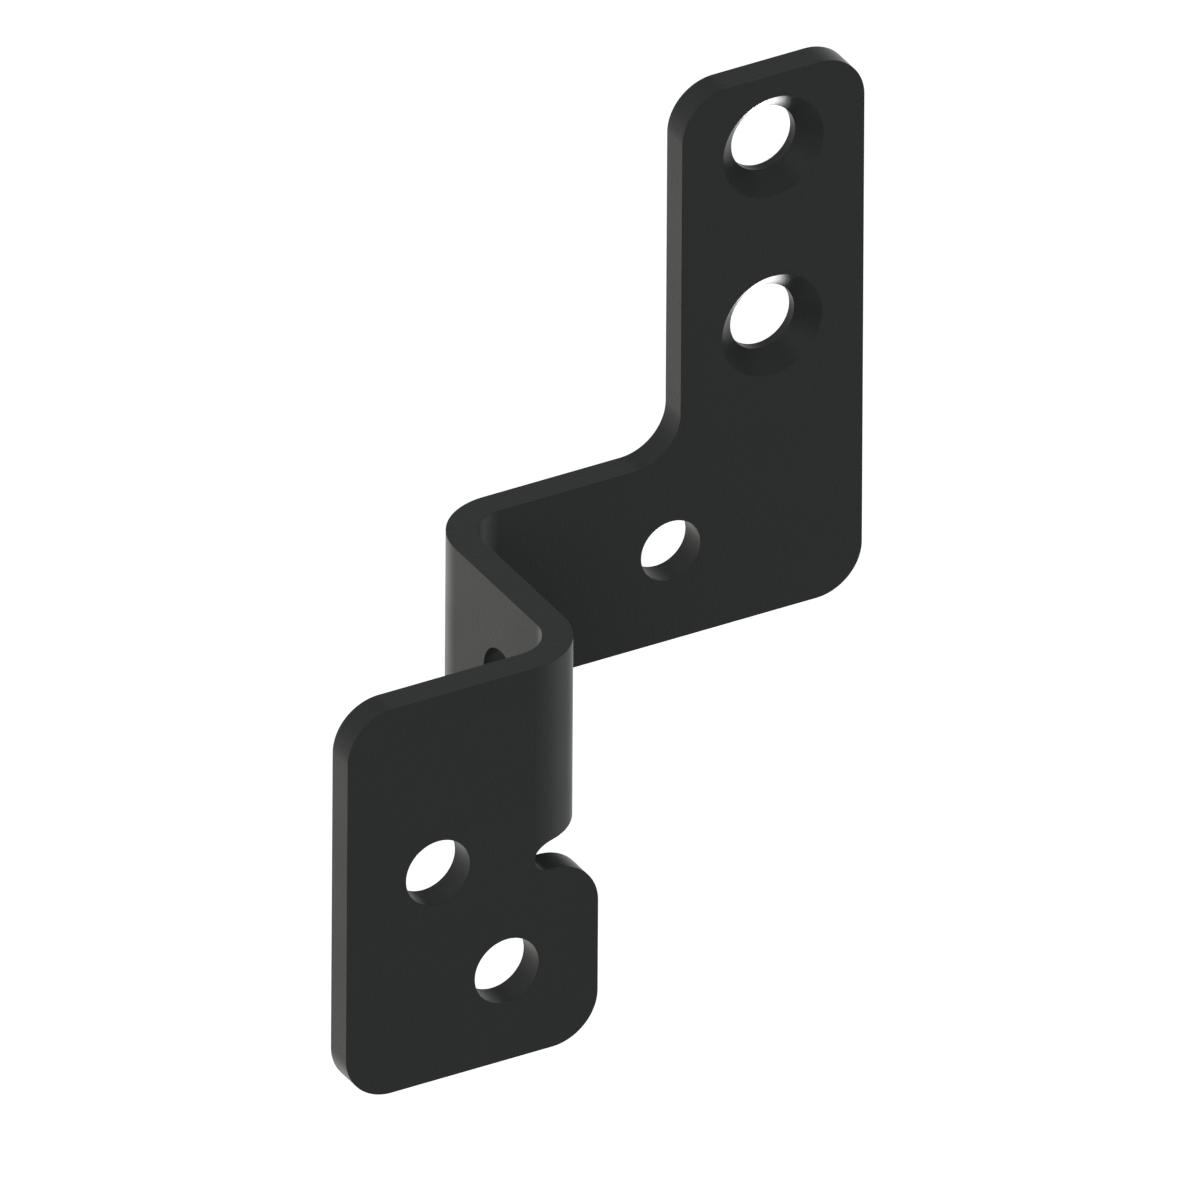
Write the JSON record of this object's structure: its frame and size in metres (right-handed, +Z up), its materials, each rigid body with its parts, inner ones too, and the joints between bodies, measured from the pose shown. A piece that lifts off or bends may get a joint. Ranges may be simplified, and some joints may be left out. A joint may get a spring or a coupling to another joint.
{
  "type": "harness bracket",
  "caption": "Z-folded sheet bracket that holds a harness clamp clear of a wall: a pad with a relief slot, a web and an L-shaped plate with countersunk screw holes.",
  "frame": {"origin": "on the back plate's wall face, midway between its two countersunk screw holes", "axes": "+X to the right along both plates, +Y out of the wall face into the wall, +Z up the back plate's leg"},
  "size_m": [0.0716, 0.03, 0.083],
  "materials": {
    "powder_coat": "satin black powder coat, faintly textured, over folded steel sheet"
  },
  "bodies": {
    "root": {"bracket": "powder_coat"}
  },
  "joints": []
}
